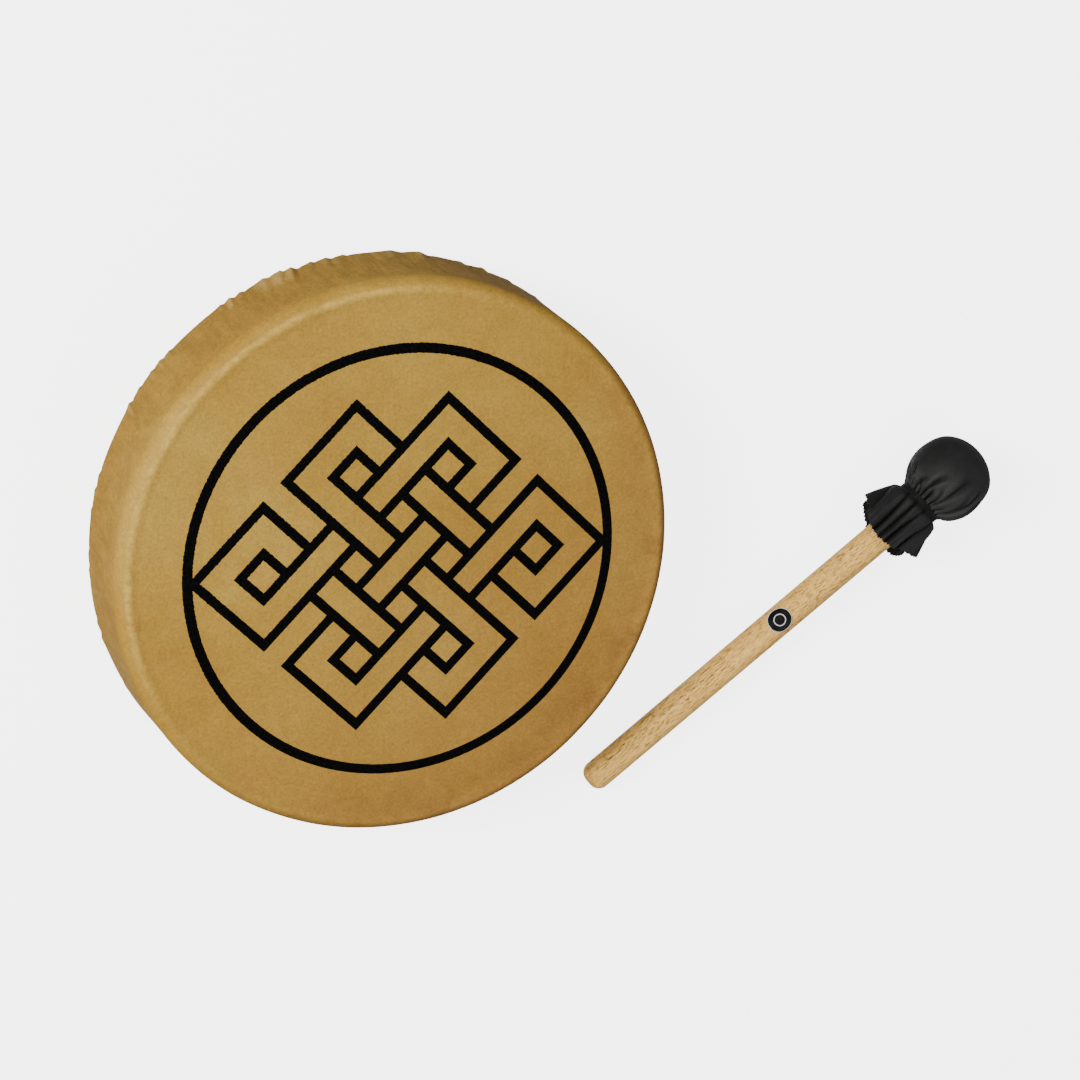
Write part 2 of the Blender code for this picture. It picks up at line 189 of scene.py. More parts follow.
class Shader:
    """A Principled material and short ways to add nodes to it."""

    def __init__(self, name, colour, roughness, metallic=0.0):
        self.material = bpy.data.materials.new(name)
        self.material.use_nodes = True
        self.tree = self.material.node_tree
        self.surface = self.tree.nodes["Principled BSDF"]
        self.set(Base_Color=(*colour, 1.0), Roughness=roughness, Metallic=metallic)
        self.place = self.node("TexCoord").outputs["Object"]

    def node(self, kind, **inputs):
        made = self.tree.nodes.new("ShaderNode" + kind)
        for name, value in inputs.items():
            self.feed(made.inputs[name.replace("_", " ")], value)
        return made

    def feed(self, socket, value):
        if isinstance(value, bpy.types.NodeSocket):
            self.tree.links.new(value, socket)
        else:
            socket.default_value = value

    def scaled(self, scale):
        """The object's own coordinates, stretched."""
        return self.node("Mapping", Vector=self.place, Scale=scale).outputs["Vector"]

    def noise(self, scale, detail=3.0, roughness=0.5, where=None, distortion=0.0):
        made = self.node(
            "TexNoise",
            Vector=self.place if where is None else where,
            Scale=scale,
            Detail=detail,
            Roughness=roughness,
            Distortion=distortion,
        )
        return made.outputs["Fac"]

    def cells(self, scale):
        return self.node("TexVoronoi", Vector=self.place, Scale=scale).outputs["Distance"]

    def ramp(self, value, *stops):
        """A colour ramp; each stop is (position, colour or grey)."""
        made = self.node("ValToRGB", Fac=value)
        points = made.color_ramp.elements
        while len(points) < len(stops):
            points.new(0.5)
        for point, (position, colour) in zip(points, stops):
            point.position = position
            grey = (colour, colour, colour) if isinstance(colour, float) else colour
            point.color = (*grey, 1.0)
        return made.outputs["Color"]

    def between(self, value, low, high):
        """A ramp over the middle of a noise's range."""
        return self.ramp(value, (0.3, low), (0.7, high))

    def math(self, operation, a, b, clamp=False):
        made = self.node("Math")
        made.operation = operation
        made.use_clamp = clamp
        self.feed(made.inputs[0], a)
        self.feed(made.inputs[1], b)
        return made.outputs["Value"]

    def times(self, a, b, clamp=False):
        return self.math("MULTIPLY", a, b, clamp)

    def mix(self, share, a, b, blend="MIX"):
        """Mixes two colours; inputs 6 and 7 and output 2 are the node's colour sockets."""
        made = self.node("Mix")
        made.data_type = "RGBA"
        made.blend_type = blend
        self.feed(made.inputs["Factor"], share)
        self.feed(made.inputs[6], (*a, 1.0) if isinstance(a, tuple) else a)
        self.feed(made.inputs[7], (*b, 1.0) if isinstance(b, tuple) else b)
        return made.outputs[2]

    def tint(self, base, where, share, colour, blend="MIX"):
        """Lays a share of a colour over the base, where a mask is 1."""
        return self.mix(self.times(where, share), base, colour, blend)

    def mark(self, name):
        """A value that the mesh stores at each of its points."""
        made = self.node("Attribute")
        made.attribute_name = name
        return made.outputs["Fac"]

    def axes(self):
        made = self.node("SeparateXYZ", Vector=self.place)
        return made.outputs["X"], made.outputs["Y"], made.outputs["Z"]

    def radius(self):
        """Distance from the object's Z axis."""
        flat = self.node("Mapping", Vector=self.place, Scale=(1.0, 1.0, 0.0))
        made = self.node("VectorMath", Vector=flat.outputs["Vector"])
        made.operation = "LENGTH"
        return made.outputs["Value"]

    def colour(self, value):
        self.feed(self.surface.inputs["Base Color"], value)

    def rough(self, value):
        self.feed(self.surface.inputs["Roughness"], value)

    def bump(self, height, distance, strength=1.0, after=None):
        made = self.node("Bump", Height=height, Distance=distance, Strength=strength)
        if after is not None:
            self.feed(made.inputs["Normal"], after)
        self.feed(self.surface.inputs["Normal"], made.outputs["Normal"])
        return made.outputs["Normal"]

    def set(self, **values):
        for name, value in values.items():
            self.surface.inputs[name.replace("_", " ")].default_value = value


def hide_tone(skin, across, away):
    """Cloudy gold that turns brown towards +X and -Y, partly the hide's own tone and partly painted
    shade away from the key lamp; also gives where it is brown and shaded.
    """
    base = skin.ramp(
        skin.noise(9.0, 5.0, 0.55, distortion=0.5),
        (0.32, (0.345, 0.188, 0.026)),
        (0.50, (0.385, 0.226, 0.034)),
        (0.68, (0.430, 0.268, 0.048)),
    )
    slope = skin.math("SUBTRACT", across, away)
    slope = skin.math("ADD", slope, skin.times(skin.noise(14.0, 4.0, 0.6), 0.10))
    # The brown towards +X and -Y is partly the hide's own tone and partly painted shade on the side
    # away from the key lamp.
    brown_and_shade = skin.ramp(skin.times(slope, 2.0), (0.02, 0.0), (0.52, 1.0))
    base = skin.tint(base, brown_and_shade, 0.60, (0.285, 0.130, 0.022))
    blush = skin.ramp(skin.noise(24.0, 4.0, 0.6), (0.50, 0.0), (0.74, 1.0))
    return skin.tint(base, blush, 0.30, (0.38, 0.175, 0.035)), brown_and_shade


def hide_rim(skin, base, brown_and_shade, side, across, away, reach):
    """Smoky brown near the rim, partly painted shade; a browner wall; a pale painted highlight on the
    bead towards the key lamp, and painted shade on its outer shoulder away from it.
    """
    rim = skin.ramp(reach, (0.75, 0.0), (0.875, 1.0))
    # Smoky brown near the rim, only where the hide is brown: partly the hide's own staining, partly
    # painted shade away from the key lamp.
    rim_smoke_and_shade = skin.ramp(skin.noise(22.0, 6.0, 0.65, distortion=0.6), (0.40, 0.0), (0.64, 1.0))
    rim_smoke_and_shade = skin.times(skin.times(rim, rim_smoke_and_shade), brown_and_shade)
    base = skin.tint(base, rim_smoke_and_shade, 0.8, (0.225, 0.098, 0.020))
    base = skin.tint(base, side, 0.30, (0.280, 0.135, 0.025))
    # Painted highlight: a pale band along the bead, only on the side towards the key lamp, broken into
    # patches by noise.
    bead_highlight = skin.ramp(reach, (0.888, 0.0), (0.902, 1.0), (0.910, 1.0), (0.920, 0.0))
    highlight_patches = skin.ramp(skin.noise(75.0, 6.0, 0.7), (0.35, 0.20), (0.62, 0.90))
    lamp_side = skin.math("SUBTRACT", skin.times(away, 2.6), skin.times(across, 3.1))
    bead_highlight = skin.times(bead_highlight, skin.ramp(lamp_side, (0.24, 0.10), (0.58, 1.0)))
    base = skin.tint(base, bead_highlight, highlight_patches, (0.61, 0.40, 0.080))
    # Painted shade: a dark band on the bead's outer shoulder, on the brown side away from the key lamp,
    # above the wall.
    edge = skin.ramp(reach, (0.908, 0.0), (0.926, 1.0))
    edge = skin.times(skin.times(edge, brown_and_shade), skin.math("SUBTRACT", 1.0, side))
    return skin.tint(base, edge, 0.65, (0.150, 0.070, 0.014))


def hide_marks(skin, base, height, reach):
    """Painted pale highlights on the pleats' crests, and the warmer inner face of the head."""
    # Painted highlight: the pleats' crests are lightened where they stand proud.
    base = skin.tint(base, skin.mark("pleat_crest_highlight"), 0.6, (0.62, 0.42, 0.13))
    within = skin.ramp(reach, (0.860, 1.0), (0.870, 0.0))
    inner_face = (0.15, 0.0), (0.30, 1.0), (0.60, 1.0), (0.80, 0.0)
    behind = skin.ramp(skin.times(height, -400.0), *inner_face)
    return skin.tint(base, skin.times(within, behind), 0.7, (0.52, 0.31, 0.12))


def hide_grain(skin, base, brown_and_shade, side):
    """Pores, grain and fibres in the colour, the gloss and the relief."""
    pores = skin.ramp(skin.cells(520.0), (0.06, 0.0), (0.24, 1.0))
    # Darker pores, more so where the hide is brown, which is partly painted shade.
    dots = skin.times(skin.math("SUBTRACT", 1.0, pores), skin.math("ADD", brown_and_shade, 0.25))
    base = skin.tint(base, dots, 0.22, (0.20, 0.09, 0.02))
    grain = skin.noise(520.0, 5.0, 0.7)
    base = skin.mix(0.55, base, skin.between(grain, 0.30, 0.70), "OVERLAY")
    fibres = skin.noise(95.0, 6.0, 0.72, distortion=1.2)
    base = skin.mix(0.55, base, skin.between(fibres, 0.40, 0.60), "OVERLAY")
    streaks = skin.noise(60.0, 4.0, 0.65, where=skin.scaled((2.2, 2.2, 0.5)))
    streaks = skin.ramp(streaks, (0.34, 0.38), (0.66, 0.62))
    skin.colour(skin.tint(base, side, 0.6, streaks, "OVERLAY"))
    skin.rough(skin.between(fibres, 0.70, 0.54))
    soft = skin.bump(skin.noise(45.0, 3.0), 0.0005)
    drawn = skin.noise(70.0, 3.0, 0.5, where=skin.scaled((3.0, 3.0, 0.4)))
    drawn = skin.bump(skin.times(side, drawn), 0.0006, after=soft)
    fine = skin.bump(grain, 0.00016, after=drawn)
    skin.bump(pores, 0.00008, after=fine)


def hide_material():
    """Dry golden goatskin: cloudy colour, browner towards the rim, fine grain and pores."""
    skin = Shader("goat_hide", (0.42, 0.26, 0.06), 0.5)
    across, away, height = skin.axes()
    reach = skin.times(skin.radius(), 5.0)
    side = skin.ramp(skin.times(height, -20.0), (0.10, 0.0), (0.35, 1.0))
    base, brown_and_shade = hide_tone(skin, across, away)
    base = hide_rim(skin, base, brown_and_shade, side, across, away, reach)
    base = hide_marks(skin, base, height, reach)
    hide_grain(skin, base, brown_and_shade, side)
    skin.set(Specular_IOR_Level=0.20)
    return skin.material


def ink_material():
    """Black ink that has sunk into the hide's grain."""
    ink = Shader("print_ink", (0.003, 0.003, 0.0035), 0.7)
    ink.colour(ink.ramp(ink.noise(500.0, 4.0), (0.35, 0.0010), (0.75, 0.0045)))
    ink.bump(ink.noise(650.0, 4.0, 0.6), 0.00010)
    ink.set(Specular_IOR_Level=0.02)
    return ink.material


def ply_material(name, light, dark):
    """Bent beech-like layer: grain runs round the hoop, with short dark flecks."""
    wood = Shader(name, light, 0.5)
    grain = wood.noise(9.0, 6.0, 0.6, where=wood.scaled((3.0, 3.0, 60.0)))
    fleck = wood.noise(40.0, 3.0, 0.6, where=wood.scaled((4.0, 4.0, 22.0)))
    fleck = wood.ramp(fleck, (0.60, 0.0), (0.68, 1.0))
    base = wood.between(grain, dark, light)
    wood.colour(wood.tint(base, fleck, 0.45, tuple(part * 0.45 for part in dark)))
    wood.rough(wood.between(grain, 0.58, 0.44))
    wood.bump(grain, 0.00015)
    return wood.material


def cord_material(name, light, dark, roughness):
    """Spun fibre: fine hairs and slow colour change along the cord."""
    cord = Shader(name, light, roughness)
    fibre = cord.noise(1800.0, 3.0, 0.6)
    slow = cord.noise(60.0, 3.0)
    base = cord.between(slow, dark, light)
    cord.colour(cord.mix(0.5, base, cord.between(fibre, 0.30, 0.70), "OVERLAY"))
    cord.bump(fibre, 0.00010)
    cord.set(Sheen_Weight=0.15)
    return cord.material


def leather_material():
    hide = Shader("grip_leather", (0.16, 0.07, 0.03), 0.5)
    tone = hide.noise(70.0, 4.0, 0.6)
    hide.colour(hide.between(tone, (0.10, 0.042, 0.018), (0.21, 0.098, 0.045)))
    hide.rough(hide.between(tone, 0.42, 0.62))
    hide.bump(hide.cells(650.0), 0.00012)
    return hide.material


def steel_material():
    steel = Shader("ring_steel", (0.56, 0.56, 0.57), 0.28, 1.0)
    brushed = steel.noise(900.0, 3.0, where=steel.scaled((1.0, 1.0, 9.0)))
    steel.rough(steel.between(brushed, 0.22, 0.38))
    steel.colour(steel.between(steel.noise(80.0, 3.0), 0.50, 0.60))
    steel.bump(brushed, 0.00003)
    return steel.material


def stick_material():
    """Open-pored pale hardwood: long grain and short dark pores along the stick's X axis."""
    wood = Shader("beater_wood", (0.72, 0.43, 0.16), 0.5)
    bands = wood.noise(30.0, 5.0, 0.6, where=wood.scaled((0.45, 7.0, 7.0)), distortion=0.3)
    base = wood.ramp(
        bands,
        (0.32, (0.790, 0.450, 0.110)),
        (0.50, (0.930, 0.540, 0.120)),
        (0.70, (0.980, 0.640, 0.180)),
    )
    lanes = wood.noise(30.0, 2.0, where=wood.scaled((0.3, 5.0, 5.0)))
    dashes = wood.noise(250.0, 2.0, 0.5, where=wood.scaled((0.8, 8.0, 8.0)))
    pores = wood.ramp(dashes, (0.545, 0.0), (0.590, 1.0))
    pores = wood.times(pores, wood.ramp(lanes, (0.30, 0.45), (0.50, 1.0)))
    wood.colour(wood.tint(base, pores, 0.95, (0.200, 0.090, 0.022)))
    wood.rough(wood.between(bands, 0.58, 0.46))
    first = wood.bump(wood.math("SUBTRACT", 1.0, pores), 0.00012)
    wood.bump(bands, 0.00008, after=first)
    wood.set(Specular_IOR_Level=0.25)
    return wood.material


def cloth_material(name, tone, sheen):
    """Black knitted cloth: a fine weave too small to see from afar, a soft sheen, painted shade in the
    fold hollows and a painted highlight on their ridges.
    """
    cloth = Shader(name, (tone, tone, tone), 0.62)
    weave = cloth.node("TexWave", Vector=cloth.place, Scale=900.0)
    base = cloth.between(cloth.noise(90.0, 3.0), tone * 0.75, tone * 1.3)
    # Painted shade and highlight: the hollows of the creases and folds darken almost to black, and the
    # ridges between them are lightened.
    fold_shading = cloth.mark("fold_shade_and_highlight")
    base = cloth.mix(cloth.times(fold_shading, -1.0, clamp=True), base, (2.2 * tone, 2.2 * tone, 2.2 * tone))
    base = cloth.mix(cloth.times(fold_shading, 1.0, clamp=True), base, (0.0006, 0.0006, 0.0007))
    cloth.colour(base)
    first = cloth.bump(weave.outputs["Fac"], 0.00005, 0.6)
    cloth.bump(cloth.noise(2200.0, 2.0), 0.00006, after=first)
    cloth.set(Sheen_Weight=sheen, Sheen_Roughness=0.35, Specular_IOR_Level=0.22)
    return cloth.material


def felt_material(name, light, dark):
    felt = Shader(name, light, 0.95)
    felt.colour(felt.between(felt.noise(120.0, 4.0), dark, light))
    felt.bump(felt.noise(700.0, 6.0, 0.7, distortion=1.0), 0.0004)
    felt.set(Sheen_Weight=0.3)
    return felt.material


def badge_material(name, tone):
    label = Shader(name, (tone, tone, tone), 0.4)
    print_grain = label.noise(900.0, 3.0)
    label.colour(label.between(print_grain, tone * 0.8, tone * 1.2))
    label.bump(print_grain, 0.00002)
    label.set(Specular_IOR_Level=0.15)
    return label.material


# --- Mesh helpers ---


def full_turn(steps):
    """Evenly spaced angles once round."""
    return [tau * i / steps for i in range(steps)]


def polar(radius, turn, height=0.0):
    """A point round the Z axis."""
    return Vector((radius * cos(turn), radius * sin(turn), height))


def round_x(along, reach, turn, height=0.0):
    """A point round an axis parallel to X, at the given height."""
    return Vector((along, reach * cos(turn), height + reach * sin(turn)))


def add(name, mesh, material, replaced=None, body="drum", smooth=True):
    """Sets a piece on its body; the beater's pieces are made along X from the stick's butt."""
    mesh.name = name
    mesh.materials.append(material)
    piece = bpy.data.objects.new(name, mesh)
    bpy.context.collection.objects.link(piece)
    if body == "beater":
        piece.matrix_world = BEATER
    if smooth:
        mesh.shade_smooth()
        mesh.set_sharp_from_angle(angle=radians(SHARP_FROM[body]))
    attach(piece, body)
    if replaced:
        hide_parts(replaced)
    return piece


def thicken(piece, thickness):
    """Gives a sheet its thickness, inwards."""
    thick = piece.modifiers.new("thickness", "SOLIDIFY")
    thick.thickness = thickness
    thick.offset = -1.0


def mark_points(mesh, name, values):
    """Stores a value at each point of the mesh, for its material."""
    mesh.attributes.new(name, "FLOAT", "POINT").data.foreach_set("value", values)


def mesh_of(points, faces):
    """A mesh, which gets its name when its piece is added."""
    mesh = bpy.data.meshes.new("mesh")
    mesh.from_pydata(points, [], faces)
    mesh.validate()
    return mesh


def sheet_mesh(rows, start=None, end=None):
    """Quads between closed rows of points; start and end are optional pole points."""
    width = len(rows[0])
    points = [point for row in rows for point in row]
    faces = []
    for i in range(len(rows) - 1):
        for j in range(width):
            k = (j + 1) % width
            faces.append((i * width + j, (i + 1) * width + j, (i + 1) * width + k, i * width + k))
    if start is not None:
        faces += [(len(points), j, (j + 1) % width) for j in range(width)]
        points.append(start)
    if end is not None:
        base = (len(rows) - 1) * width
        faces += [(base + (j + 1) % width, base + j, len(points)) for j in range(width)]
        points.append(end)
    return mesh_of(points, faces)


def turned(outline, steps):
    """A closed outline of (radius, height) points turned round Z."""
    turns = full_turn(steps)
    rows = [[polar(radius, turn, height) for turn in turns] for radius, height in outline]
    mesh = sheet_mesh(rows + [rows[0]])
    work = bmesh.new()
    work.from_mesh(mesh)
    bmesh.ops.remove_doubles(work, verts=work.verts, dist=1e-7)
    bmesh.ops.recalc_face_normals(work, faces=work.faces)
    work.to_mesh(mesh)
    work.free()
    return mesh


def arc(centre, radii, start, end, steps):
    """Points on an ellipse's arc; angles in degrees, 0 along +radius and 90 upwards."""
    angles = [radians(start + (end - start) * i / steps) for i in range(steps + 1)]
    return [(centre[0] + radii[0] * cos(a), centre[1] + radii[1] * sin(a)) for a in angles]


def smoothstep(low, high, value):
    share = min(1.0, max(0.0, (value - low) / (high - low)))
    return share * share * (3.0 - 2.0 * share)


def rounded_route(corners, bend, steps):
    """The straight runs between the corners, each inner corner rounded to the bend radius."""
    route = [corners[0]]
    for before, corner, after in zip(corners, corners[1:], corners[2:]):
        back = (before - corner).normalized()
        ahead = (after - corner).normalized()
        half = back.angle(ahead) / 2.0
        reach = bend / tan(half)
        centre = corner + (back + ahead).normalized() * bend / sin(half)
        first = corner + back * reach - centre
        last = corner + ahead * reach - centre
        route += [centre + first.slerp(last, i / steps) * bend for i in range(steps + 1)]
    route.append(corners[-1])
    return route


def resampled(route, step):
    """Points a step apart along the route."""
    points = [route[0].copy()]
    for a, b in zip(route, route[1:]):
        count = max(1, round((b - a).length / step))
        points += [a.lerp(b, (i + 1) / count) for i in range(count)]
    return points


def rope_mesh(route, radius, lay, sides=12):
    """A twisted cord: a lobed section that turns once in each lay length."""
    ahead = (route[1] - route[0]).normalized()
    side = ahead.orthogonal().normalized()
    rows = []
    travelled = 0.0
    for i, point in enumerate(route):
        last = route[max(0, i - 1)]
        following = route[min(len(route) - 1, i + 1)]
        travelled += (point - last).length
        ahead = (following - last).normalized()
        side = (side - ahead * side.dot(ahead)).normalized()
        across = ahead.cross(side)
        twist = tau * travelled / lay
        row = []
        for turn in full_turn(sides):
            lobe = abs(cos(CORD_STRANDS * (turn - twist) / 2.0))
            reach = radius * (0.74 + 0.26 * sqrt(lobe))
            row.append(point + (side * cos(turn) + across * sin(turn)) * reach)
        rows.append(row)
    return sheet_mesh(rows, start=route[0], end=route[-1])


# --- The hide ---


def fill_in_pleats():
    """The pleats the camera sees, and similar ones all round the rest of the edge."""
    dice = random.Random(7)
    pleats = list(SEEN_PLEATS)
    angle = FILL_FROM
    while angle < FILL_TO:
        low, high = (0.0003, 0.0008) if angle < FILL_FURTHER else (0.0005, 0.0014)
        size = dice.uniform(low, high)
        width = dice.uniform(0.9, 1.8)
        reach = dice.uniform(0.016, 0.034)
        pleats.append((angle % 360.0, size, width, reach, dice.uniform(-1.5, 1.5)))
        angle += dice.choice((3.4, 4.6, 6.5, 11.0))
    return pleats


PLEATS = fill_in_pleats()


def pleat_lift(angle, height):
    """How far the pleats push the wall out at a direction in degrees and a height."""
    above = height - FLOOR
    lift = 0.0
    for centre, size, width, reach, lean in PLEATS:
        along = above / reach
        if along < 1.0:
            off = (angle - centre - lean * along + 180.0) % 360.0 - 180.0
            if abs(off) < 6.0 * width:
                steep = PLEAT_LEE if off < 0.0 else 1.0
                ridge = exp(-((abs(off) / (width * steep)) ** 1.3))
                tuck = 0.5 * exp(-((off + width) ** 2) / (0.25 * width * width))
                fade = sin(pi * (1.0 - along) ** 1.6 * 0.62) ** 0.8
                lift += size * (ridge - tuck) * fade
    return lift


def hide_profile():
    """(radius, height) of the hide's outside, from the face's middle to the hem."""
    face = [(FACE_HUB + (BEAD_START - FACE_HUB) * i / 12, 0.0) for i in range(12)]
    width = BEAD_RADIUS - BEAD_START
    swell = [0.5 - 0.5 * cos(pi * i / 8) for i in range(8)]
    rise = [(BEAD_START + width * i / 8, BEAD_RISE * share) for i, share in enumerate(swell)]
    turn_over = (HEAD_RADIUS - BEAD_RADIUS, EDGE_DROP + BEAD_RISE)
    shoulder = arc((BEAD_RADIUS, -EDGE_DROP), turn_over, 90.0, 0.0, 12)
    wall_end = FLOOR + HEEL[1]
    flare = BACK_RADIUS - HEAD_RADIUS
    drop = wall_end + EDGE_DROP
    wall = [(HEAD_RADIUS + flare * i / 26, -EDGE_DROP + drop * i / 26) for i in range(1, 26)]
    heel = arc((BACK_RADIUS - HEEL[0], wall_end), HEEL, 0.0, -90.0, 10)
    rest = [(BACK_RADIUS - HEEL[0] - REST_STEP * i, FLOOR) for i in (1, 2)]
    span = REST_INNER - HEM_RADIUS
    hem = [(REST_INNER - span * i / 22, hem_height(i / 22)) for i in range(23)]
    return face + rise + shoulder + wall + heel + rest + hem


def hem_height(inward):
    """How high the hem lies, 0 where it leaves the resting ring and 1 at its edge."""
    return FLOOR + HEM_RISE * (1.0 - (1.0 - inward) ** 2)


def hide_point(radius, height, turn):
    """One point of the hide's outside, with its pleats, waves and puckered hem."""
    across = polar(1.0, turn)
    spot = across * radius
    up = Vector((0.0, 0.0, 1.0))
    if radius < BEAD_START:
        return spot + up * height
    wave = noise.noise(across * 3.2 + up * 9.0 * height)
    if radius <= HEAD_RADIUS + 1e-6 and height > -EDGE_DROP - 1e-6:
        fade = smoothstep(BEAD_START, BEAD_RADIUS, radius)
        ripple = noise.noise(spot * 55.0) * 0.00022 + noise.noise(spot * 160.0) * 0.00007
        return spot + up * (height + fade * ripple) + across * wave * 0.0002 * fade
    if height > FLOOR + 1e-5 and radius > REST_INNER + 1e-4:
        share = smoothstep(FLOOR, FLOOR + 0.5 * HEEL[1], height)
        lift = pleat_lift(degrees(turn) % 360.0, height) * share
        buckle = noise.noise(Vector((spot.x * 24.0, spot.y * 24.0, height * 12.0)))
        low = smoothstep(-0.02, FLOOR, height)
        return spot + across * (lift + wave * 0.0004 + buckle * 0.0007 * low * share) + up * height
    inward = smoothstep(REST_INNER, HEM_RADIUS, radius)
    pull = cos(HOLES * turn - pi)
    pucker = inward * (0.0006 * pull + 0.0007 * noise.noise(across * 14.0))
    gather = inward * 0.00045 * (1.0 + cos(3.0 * HOLES * turn + 6.0 * wave))
    return spot + across * (-1.8 * pucker) + up * (height + gather)


def hide_turns():
    turns = []
    turn = 0.0
    while turn < tau - 0.5 * COARSE_STEP:
        turns.append(turn)
        turn += FINE_STEP if FINE_SPAN[0] < turn < FINE_SPAN[1] else COARSE_STEP
    return turns


def hide_mesh():
    turns = hide_turns()
    rows = [[hide_point(r, z, t) for t in turns] for r, z in hide_profile()]
    mesh = sheet_mesh(rows, start=Vector())
    mark_crests(mesh)
    punch_hem(mesh)
    return mesh


def mark_crests(mesh):
    """Notes how far each point stands proud on a pleat, for the painted pale highlight on the crests.
    """
    values = [0.0] * len(mesh.vertices)
    for i, corner in enumerate(mesh.vertices):
        if corner.co.z < -0.02 and corner.co.xy.length > BACK_RADIUS - HEEL[0]:
            angle = degrees(atan2(corner.co.y, corner.co.x)) % 360.0
            values[i] = min(1.0, max(0.0, pleat_lift(angle, corner.co.z) / PROUD_PLEAT - 0.30))
    mark_points(mesh, "pleat_crest_highlight", values)


def hole_near(corner):
    """The centre of the lacing hole nearest to a corner of the hem."""
    turn = atan2(corner.co.y, corner.co.x) % tau
    number = int(turn / tau * HOLES) % HOLES
    return polar(HOLE_CIRCLE, tau * (number + 0.5) / HOLES).xy


def punch_hem(mesh):
    """Opens the round lacing holes in the hem and draws their rims to a true circle."""
    work = bmesh.new()
    work.from_mesh(mesh)
    lip = [v for v in work.verts if v.co.z < FLOOR + 0.008 and v.co.xy.length < REST_INNER - 0.002]
    inside = []
    for corner in lip:
        centre = hole_near(corner)
        away = corner.co.xy - centre
        distance = away.length
        if distance < 0.5 * HOLE_RADIUS:
            inside.append(corner)
        elif distance < 2.2 * HOLE_RADIUS:
            moved = HOLE_RADIUS * (1.0 + (distance / HOLE_RADIUS - 0.5) * 1.2 / 1.7)
            corner.co.xy = centre + away * moved / distance
    bmesh.ops.delete(work, geom=inside, context="VERTS")
    for corner in lip:
        if corner.is_valid and corner.is_boundary and corner.co.xy.length > HEM_RADIUS + 0.003:
            centre = hole_near(corner)
            corner.co.xy = centre + (corner.co.xy - centre).normalized() * HOLE_RADIUS
    bmesh.ops.recalc_face_normals(work, faces=work.faces)
    work.to_mesh(mesh)
    work.free()


def build_hide(material):
    hide = add("goat_hide_skin", hide_mesh(), material, "goatskin_head")
    thicken(hide, HIDE)


# --- The print on the face ---


def ragged(point):
    """How far the ink's edge strays there, most on the far left of the face."""
    rough = INK_STRAY * (0.5 + 1.2 * smoothstep(0.05, -0.14, point.x - point.y))
    elsewhere = point * 700.0 + Vector((3.1, 7.7, 0.0))
    return Vector((noise.noise(point * 700.0), noise.noise(elsewhere), 0.0)) * rough


def print_ring(material):
    turns = full_turn(RING_STEPS)
    rows = []
    for share in (0.0, 0.25, 0.5, 0.75, 1.0):
        radius = RING_INNER + (RING_OUTER - RING_INNER) * share
        row = [polar(radius, turn, PRINT_LIFT) for turn in turns]
        if share in (0.0, 1.0):
            row = [point + ragged(point) for point in row]
        rows.append(row)
    add("printed_ring", sheet_mesh(rows), material, smooth=False)


# One half of the knot's lines on a 10 by 10 grid, as (line, first, last). The other half is
# the same lines turned half a turn.
KNOT_HALF = {
    "row": [
        (0, 0, 3), (3, 0, 4), (2, 1, 4), (1, 1, 2), (0, 4, 7), (1, 5, 6), (2, 5, 9), (5, 7, 9),
        (3, 5, 8), (4, 7, 8), (4, 3, 6),
    ],
    "column": [
        (0, 0, 3), (3, 0, 2), (1, 1, 2), (2, 1, 2), (4, 0, 4), (7, 0, 2), (5, 1, 4), (6, 1, 2),
        (9, 2, 5), (8, 3, 4), (2, 3, 6), (3, 3, 6),
    ],
}


def knot_cells():
    """The inked cells: even numbers are line crossings, odd ones the gaps between lines."""
    cells = set()
    for kind, half in KNOT_HALF.items():
        for line, first, last in half + [(9 - line, 9 - last, 9 - first) for line, first, last in half]:
            for step in range(2 * first, 2 * last + 1):
                cells.add((2 * line, step) if kind == "row" else (step, 2 * line))
    return cells


def knot_ruler():
    """Places of the fine grid lines along one side, and the first fine line of each cell."""
    places = [-4.5 * KNOT_PITCH - KNOT_LINE / 2]
    firsts = []
    for cell in range(19):
        firsts.append(len(places) - 1)
        steps, size = (18, KNOT_PITCH - KNOT_LINE) if cell % 2 else (7, KNOT_LINE)
        places += [places[-1] + size * (i + 1) / steps for i in range(steps)]
    firsts.append(len(places) - 1)
    return places, firsts


def print_knot(material):
    places, firsts = knot_ruler()
    along = polar(1.0, KNOT_TURN)
    down = Vector((sin(KNOT_TURN), -cos(KNOT_TURN), 0.0))
    corners = {}
    points = []
    faces = []

    def corner(i, j):
        if (i, j) not in corners:
            drop, side = places[i], places[j]
            flat = (along * side + down * drop) * (1.0 + KNOT_TAPER * drop) + KNOT_MIDDLE
            corners[i, j] = len(points)
            points.append(flat + ragged(flat) + Vector((0.0, 0.0, PRINT_LIFT * 1.3)))
        return corners[i, j]

    for row, column in sorted(knot_cells()):
        for i in range(firsts[row], firsts[row + 1]):
            for j in range(firsts[column], firsts[column + 1]):
                faces.append((corner(i, j), corner(i + 1, j), corner(i + 1, j + 1), corner(i, j + 1)))
    add("printed_knot", mesh_of(points, faces), material, smooth=False)


# --- Hoop ---


def ply_top(inner, outer):
    """(radius, height) of a layer's top, which follows the hide's rounded front edge."""
    clearance = HIDE + 1.2 * GAP
    rise = EDGE_DROP + BEAD_RISE - clearance
    across = HEAD_RADIUS - BEAD_RADIUS - clearance
    top = []
    for i in range(7):
        radius = inner + (outer - inner) * i / 6
        share = min(0.999, max(0.0, (radius - BEAD_RADIUS) / across))
        top.append((radius, -EDGE_DROP + rise * sqrt(1.0 - share**2)))
    return top


